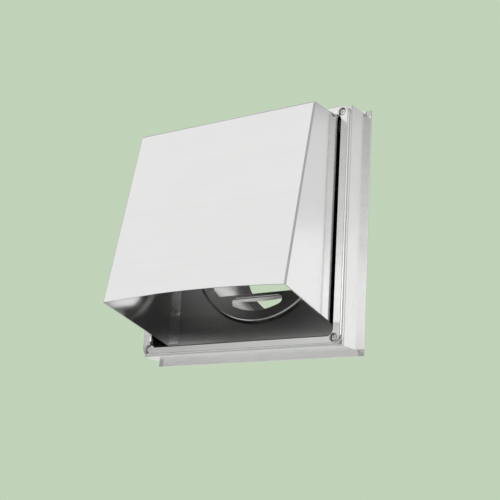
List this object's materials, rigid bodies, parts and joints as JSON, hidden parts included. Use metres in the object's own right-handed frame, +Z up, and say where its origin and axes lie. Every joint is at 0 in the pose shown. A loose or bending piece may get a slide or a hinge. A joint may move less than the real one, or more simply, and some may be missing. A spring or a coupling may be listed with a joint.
{
  "type": "wall vent cover",
  "caption": "Square steel wall vent cover: a sloped hood with an open underside on a boxed base frame, over a round louvred plate with a duct spigot behind.",
  "frame": {"origin": "on the duct's axis, in the plane of the wall", "axes": "+X right seen from the front, +Y into the wall along the duct, +Z up"},
  "size_m": [0.208, 0.152, 0.208],
  "materials": {
    "plate_steel": "bright rolled steel",
    "spigot_steel": "bright rolled steel",
    "hood_steel": "bright rolled steel",
    "base_steel": "bright rolled steel",
    "cover_steel": "bright rolled steel",
    "fastener_steel": "bright rolled steel"
  },
  "bodies": {
    "root": {"louvre_plate": "plate_steel", "duct_spigot": "spigot_steel", "hood": "hood_steel", "hood_rivets": "fastener_steel", "base_frame": "base_steel", "weld_nuts": "fastener_steel", "cover_frame": "cover_steel", "corner_screws": "fastener_steel"}
  },
  "joints": []
}
